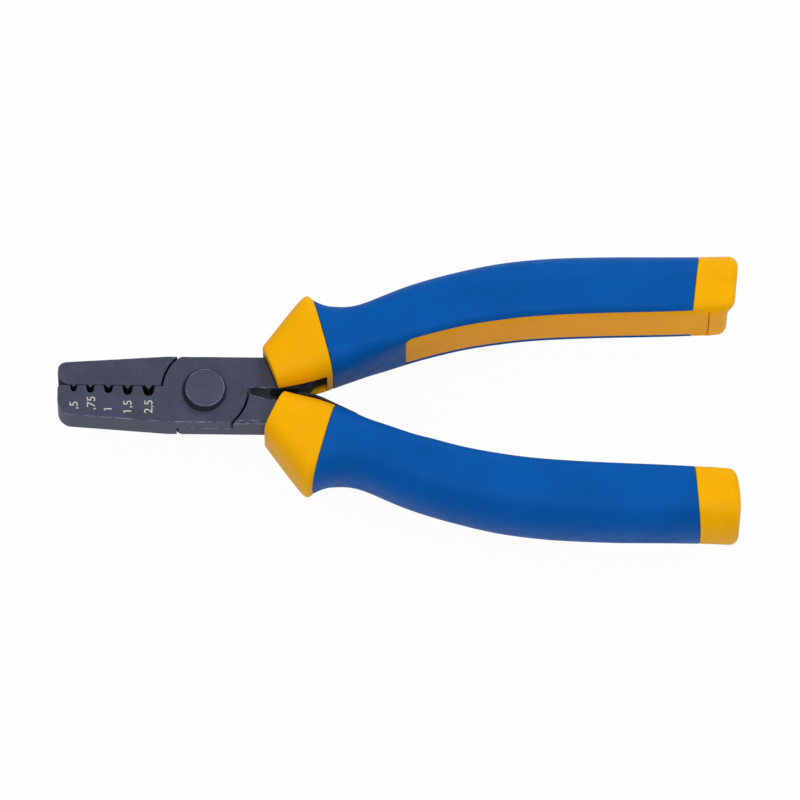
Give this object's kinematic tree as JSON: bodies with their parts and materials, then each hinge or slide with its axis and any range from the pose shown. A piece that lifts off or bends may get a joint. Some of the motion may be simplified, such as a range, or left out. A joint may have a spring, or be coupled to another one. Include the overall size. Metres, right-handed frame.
{
  "type": "ferrule crimping pliers",
  "caption": "Crimping pliers for wire end sleeves, with U-shaped nests in the jaws, a riveted lap joint, a leaf spring and two-component grips.",
  "frame": {"origin": "on the pivot axis, at the flat rear face of the pivot rivet", "axes": "+X from the pivot to the handle ends, +Y towards the upper handle, +Z out of the front of the joint along the pivot axis"},
  "size_m": [0.1454, 0.0625, 0.0206],
  "materials": {
    "burnished_steel": "dark blue-grey burnished forged steel, satin",
    "rivet_steel": "dark blue-grey burnished steel, satin",
    "spring_steel": "dark blued spring steel",
    "hard_yellow": "satin moulded plastic, warm yellow",
    "soft_blue": "soft-touch moulded elastomer, fine-grained blue"
  },
  "bodies": {
    "front_half": {"lower_jaw_lever": "burnished_steel", "pivot_rivet": "rivet_steel", "opening_spring": "spring_steel", "spring_rivet": "spring_steel", "upper_grip_core": "hard_yellow", "upper_grip_cover": "soft_blue", "upper_end_cap": "hard_yellow"},
    "rear_half": {"upper_jaw_lever": "burnished_steel", "lower_grip_core": "hard_yellow", "lower_grip_cover": "soft_blue", "lower_end_cap": "hard_yellow"}
  },
  "joints": [
    {"name": "jaw_hinge", "type": "hinge", "parent": "front_half", "child": "rear_half", "pos_m": [0, 0, 0.006], "axis": [0, 0, -1], "range_deg": [0, 20], "stiffness_Nm_per_rad": 0.15, "springref_deg": 28.65, "deforming": ["opening_spring"]}
  ]
}
